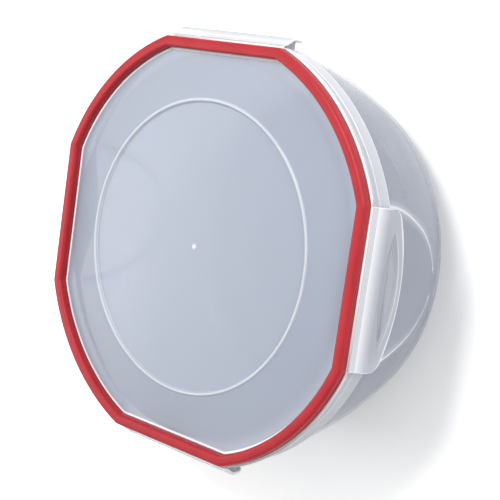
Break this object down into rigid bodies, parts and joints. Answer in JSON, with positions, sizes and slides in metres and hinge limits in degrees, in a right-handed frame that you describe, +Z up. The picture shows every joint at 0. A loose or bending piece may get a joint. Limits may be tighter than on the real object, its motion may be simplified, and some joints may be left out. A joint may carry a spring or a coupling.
{
  "type": "latching storage bowl",
  "caption": "Round translucent storage bowl with a flat-sided lid, a red over-moulded seal band and a hinged latch on each flat side.",
  "frame": {"origin": "centre of the foot's underside, on the surface that the bowl stands on", "axes": "+Z up out of the bowl's mouth, +X and +Y through the middles of two neighbouring latches"},
  "size_m": [0.3172, 0.3172, 0.144],
  "materials": {
    "bowl_plastic": "translucent polypropylene, satin gloss",
    "lid_plastic": "translucent polypropylene, satin gloss",
    "seal": "soft red thermoplastic elastomer, satin"
  },
  "bodies": {
    "bowl": {"bowl": "bowl_plastic"},
    "lid": {"lid": "lid_plastic", "gasket": "seal", "hinge_web_right": "lid_plastic", "hinge_web_back": "lid_plastic", "hinge_web_left": "lid_plastic", "hinge_web_front": "lid_plastic"},
    "latch_right": {"latch_right": "lid_plastic", "snap_lip_right": "lid_plastic"},
    "latch_back": {"latch_back": "lid_plastic", "snap_lip_back": "lid_plastic"},
    "latch_left": {"latch_left": "lid_plastic", "snap_lip_left": "lid_plastic"},
    "latch_front": {"latch_front": "lid_plastic", "snap_lip_front": "lid_plastic"}
  },
  "joints": [
    {"name": "lid_lift", "type": "slide", "parent": "bowl", "child": "lid", "axis": [0, 0, 1], "range_m": [0, 0.15], "deforming": ["snap_lip_right", "snap_lip_back", "snap_lip_left", "snap_lip_front"]},
    {"name": "latch_right_hinge", "type": "hinge", "parent": "lid", "child": "latch_right", "pos_m": [0.15085, 0, 0.1366], "axis": [0, -1, 0], "range_deg": [0, 110], "deforming": ["hinge_web_right", "snap_lip_right"]},
    {"name": "latch_back_hinge", "type": "hinge", "parent": "lid", "child": "latch_back", "pos_m": [0, 0.15085, 0.1366], "axis": [1, 0, 0], "range_deg": [0, 110], "deforming": ["hinge_web_back", "snap_lip_back"]},
    {"name": "latch_left_hinge", "type": "hinge", "parent": "lid", "child": "latch_left", "pos_m": [-0.15085, 0, 0.1366], "axis": [0, 1, 0], "range_deg": [0, 110], "deforming": ["hinge_web_left", "snap_lip_left"]},
    {"name": "latch_front_hinge", "type": "hinge", "parent": "lid", "child": "latch_front", "pos_m": [0, -0.15085, 0.1366], "axis": [-1, 0, 0], "range_deg": [0, 110], "deforming": ["hinge_web_front", "snap_lip_front"]}
  ]
}
